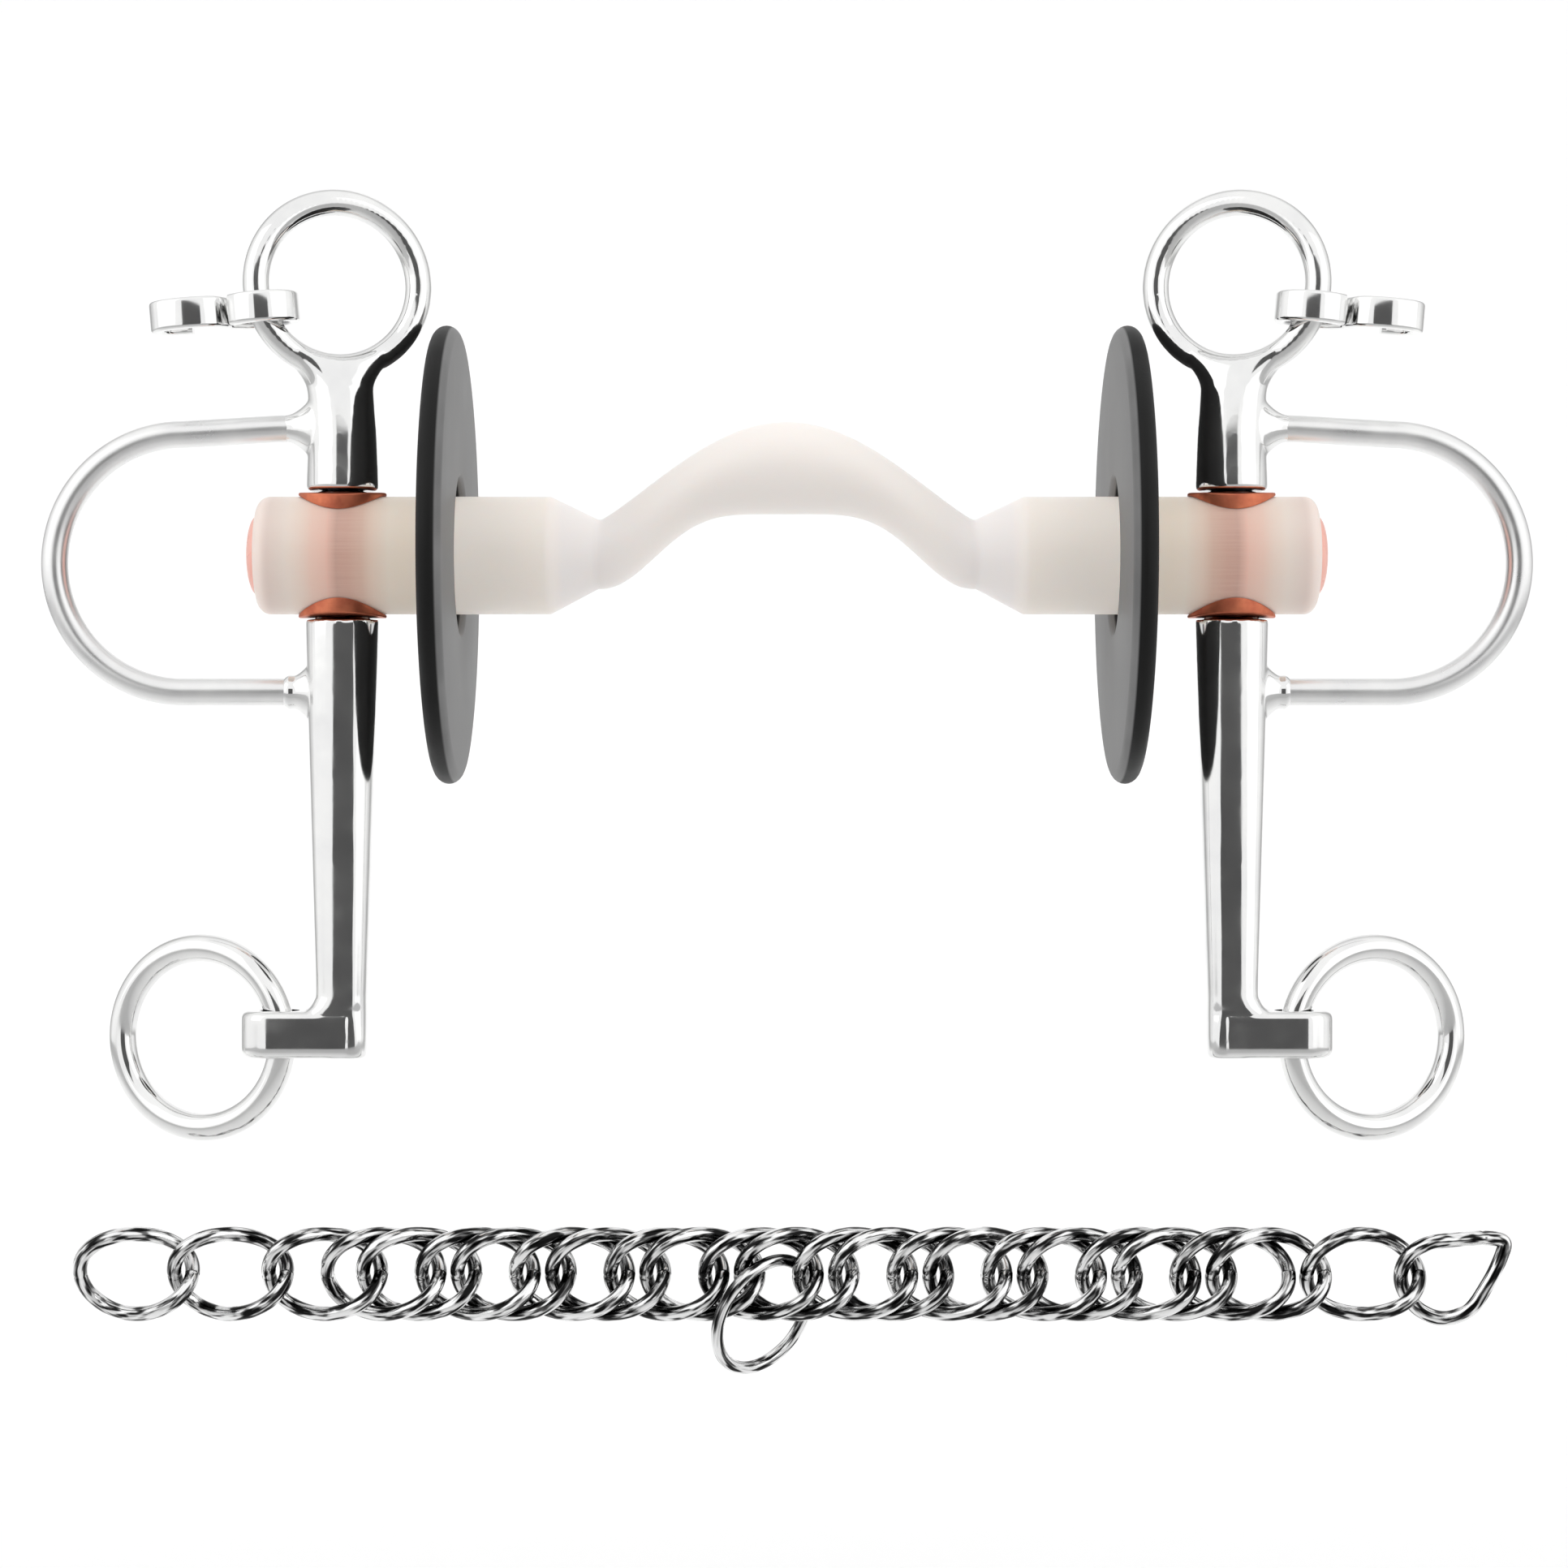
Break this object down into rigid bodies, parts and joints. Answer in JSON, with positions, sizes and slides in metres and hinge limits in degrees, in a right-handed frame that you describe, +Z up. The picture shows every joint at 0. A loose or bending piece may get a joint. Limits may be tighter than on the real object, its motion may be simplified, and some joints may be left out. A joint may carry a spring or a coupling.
{
  "type": "curb bit",
  "caption": "Curb bit with an arched plastic mouthpiece, swivelling cheeks, snaffle loops, rein rings, hooks, guards and a double curb chain.",
  "frame": {"origin": "middle of the mouthpiece, on the axis of its cheek ends", "axes": "+X along the mouthpiece to the viewer's right, +Y away from the viewer, +Z up towards the headstall eyes"},
  "size_m": [0.245, 0.075, 0.1954],
  "materials": {
    "steel": "polished",
    "chain_steel": "polished, dark in its hollows",
    "copper": "satin copper",
    "rubber": "matt",
    "plastic": "satin, translucent"
  },
  "bodies": {
    "mouthpiece": {"mouthpiece_bar": "plastic", "left_cheek_bush": "copper", "left_upper_saddle_washer": "copper", "left_lower_saddle_washer": "copper", "left_end_plug": "copper", "right_cheek_bush": "copper", "right_upper_saddle_washer": "copper", "right_lower_saddle_washer": "copper", "right_end_plug": "copper"},
    "left_cheek": {"left_eye_piece": "steel", "left_shank": "steel", "left_snaffle_loop": "steel"},
    "left_rein_ring": {"left_rein_ring": "steel"},
    "left_curb_hook": {"left_curb_hook": "steel"},
    "left_bit_guard": {"left_bit_guard": "rubber"},
    "right_cheek": {"right_eye_piece": "steel", "right_shank": "steel", "right_snaffle_loop": "steel"},
    "right_rein_ring": {"right_rein_ring": "steel"},
    "right_curb_hook": {"right_curb_hook": "steel"},
    "right_bit_guard": {"right_bit_guard": "rubber"},
    "chain_1": {"chain_link_1": "chain_steel"},
    "chain_2": {"chain_link_2": "chain_steel"},
    "chain_3": {"chain_link_3": "chain_steel"},
    "chain_4": {"chain_link_4": "chain_steel", "chain_beside_link_4": "chain_steel"},
    "chain_5": {"chain_link_5": "chain_steel", "chain_beside_link_5": "chain_steel"},
    "chain_6": {"chain_link_6": "chain_steel", "chain_beside_link_6": "chain_steel"},
    "chain_7": {"chain_link_7": "chain_steel", "chain_beside_link_7": "chain_steel"},
    "chain_8": {"chain_link_8": "chain_steel", "chain_beside_link_8": "chain_steel"},
    "chain_9": {"chain_link_9": "chain_steel", "chain_beside_link_9": "chain_steel"},
    "chain_10": {"chain_link_10": "chain_steel", "chain_beside_link_10": "chain_steel"},
    "chain_11": {"chain_link_11": "chain_steel", "chain_beside_link_11": "chain_steel"},
    "chain_12": {"chain_link_12": "chain_steel", "chain_beside_link_12": "chain_steel"},
    "chain_13": {"chain_link_13": "chain_steel", "chain_beside_link_13": "chain_steel"},
    "chain_14": {"chain_link_14": "chain_steel"},
    "chain_15": {"chain_end_link": "chain_steel"},
    "fly_ring": {"fly_ring": "chain_steel"}
  },
  "joints": [
    {"name": "left_cheek_swivel", "type": "hinge", "parent": "mouthpiece", "child": "left_cheek", "pos_m": [-0.073, 0, 0], "axis": [0, 0, 1], "range_deg": [-80, 80]},
    {"name": "left_rein_ring_swing", "type": "hinge", "parent": "left_cheek", "child": "left_rein_ring", "pos_m": [-0.0833, 0, -0.0795], "axis": [0, 0, 1], "range_deg": [-80, 115]},
    {"name": "left_curb_hook_swing", "type": "hinge", "parent": "left_cheek", "child": "left_curb_hook", "pos_m": [-0.08587, -0.00392, 0.0399], "axis": [0, 0, 1], "range_deg": [-35, 35]},
    {"name": "left_bit_guard_slide", "type": "slide", "parent": "mouthpiece", "child": "left_bit_guard", "axis": [-1, 0, 0], "range_m": [-0.013, 0.002]},
    {"name": "right_cheek_swivel", "type": "hinge", "parent": "mouthpiece", "child": "right_cheek", "pos_m": [0.073, 0, 0], "axis": [0, 0, 1], "range_deg": [-80, 80]},
    {"name": "right_rein_ring_swing", "type": "hinge", "parent": "right_cheek", "child": "right_rein_ring", "pos_m": [0.0833, 0, -0.0795], "axis": [0, 0, 1], "range_deg": [-115, 80]},
    {"name": "right_curb_hook_swing", "type": "hinge", "parent": "right_cheek", "child": "right_curb_hook", "pos_m": [0.08587, -0.00392, 0.0399], "axis": [0, 0, 1], "range_deg": [-35, 35]},
    {"name": "right_bit_guard_slide", "type": "slide", "parent": "mouthpiece", "child": "right_bit_guard", "axis": [1, 0, 0], "range_m": [-0.013, 0.002]},
    {"name": "chain_lift", "type": "slide", "parent": "mouthpiece", "child": "chain_8", "axis": [0, -1, 0], "range_m": [0, 0.1]},
    {"name": "chain_hinge_9", "type": "hinge", "parent": "chain_8", "child": "chain_9", "pos_m": [0.00935, 0, -0.118], "axis": [0, 0, 1], "range_deg": [-4, 12]},
    {"name": "chain_hinge_10", "type": "hinge", "parent": "chain_9", "child": "chain_10", "pos_m": [0.02485, 0, -0.118], "axis": [0, 0, 1], "range_deg": [-12, 12]},
    {"name": "chain_hinge_11", "type": "hinge", "parent": "chain_10", "child": "chain_11", "pos_m": [0.04035, 0, -0.118], "axis": [0, 0, 1], "range_deg": [-12, 12]},
    {"name": "chain_hinge_12", "type": "hinge", "parent": "chain_11", "child": "chain_12", "pos_m": [0.05585, 0, -0.118], "axis": [0, 0, 1], "range_deg": [-12, 12]},
    {"name": "chain_hinge_13", "type": "hinge", "parent": "chain_12", "child": "chain_13", "pos_m": [0.07135, 0, -0.118], "axis": [0, 0, 1], "range_deg": [-12, 12]},
    {"name": "chain_hinge_14", "type": "hinge", "parent": "chain_13", "child": "chain_14", "pos_m": [0.08685, 0, -0.118], "axis": [0, 0, 1], "range_deg": [-12, 12]},
    {"name": "chain_hinge_15", "type": "hinge", "parent": "chain_14", "child": "chain_15", "pos_m": [0.10235, 0, -0.118], "axis": [0, 0, 1], "range_deg": [-12, 12]},
    {"name": "chain_hinge_7", "type": "hinge", "parent": "chain_8", "child": "chain_7", "pos_m": [-0.00615, 0, -0.118], "axis": [0, 0, -1], "range_deg": [-4, 12]},
    {"name": "chain_hinge_6", "type": "hinge", "parent": "chain_7", "child": "chain_6", "pos_m": [-0.02165, 0, -0.118], "axis": [0, 0, -1], "range_deg": [-12, 12]},
    {"name": "chain_hinge_5", "type": "hinge", "parent": "chain_6", "child": "chain_5", "pos_m": [-0.03715, 0, -0.118], "axis": [0, 0, -1], "range_deg": [-12, 12]},
    {"name": "chain_hinge_4", "type": "hinge", "parent": "chain_5", "child": "chain_4", "pos_m": [-0.05265, 0, -0.118], "axis": [0, 0, -1], "range_deg": [-12, 12]},
    {"name": "chain_hinge_3", "type": "hinge", "parent": "chain_4", "child": "chain_3", "pos_m": [-0.06815, 0, -0.118], "axis": [0, 0, -1], "range_deg": [-12, 12]},
    {"name": "chain_hinge_2", "type": "hinge", "parent": "chain_3", "child": "chain_2", "pos_m": [-0.08365, 0, -0.118], "axis": [0, 0, -1], "range_deg": [-12, 12]},
    {"name": "chain_hinge_1", "type": "hinge", "parent": "chain_2", "child": "chain_1", "pos_m": [-0.09915, 0, -0.118], "axis": [0, 0, -1], "range_deg": [-12, 12]},
    {"name": "fly_ring_swing", "type": "hinge", "parent": "chain_8", "child": "fly_ring", "pos_m": [-0.001, 0, -0.12484], "axis": [0, 0, 1], "range_deg": [-2, 25]}
  ]
}
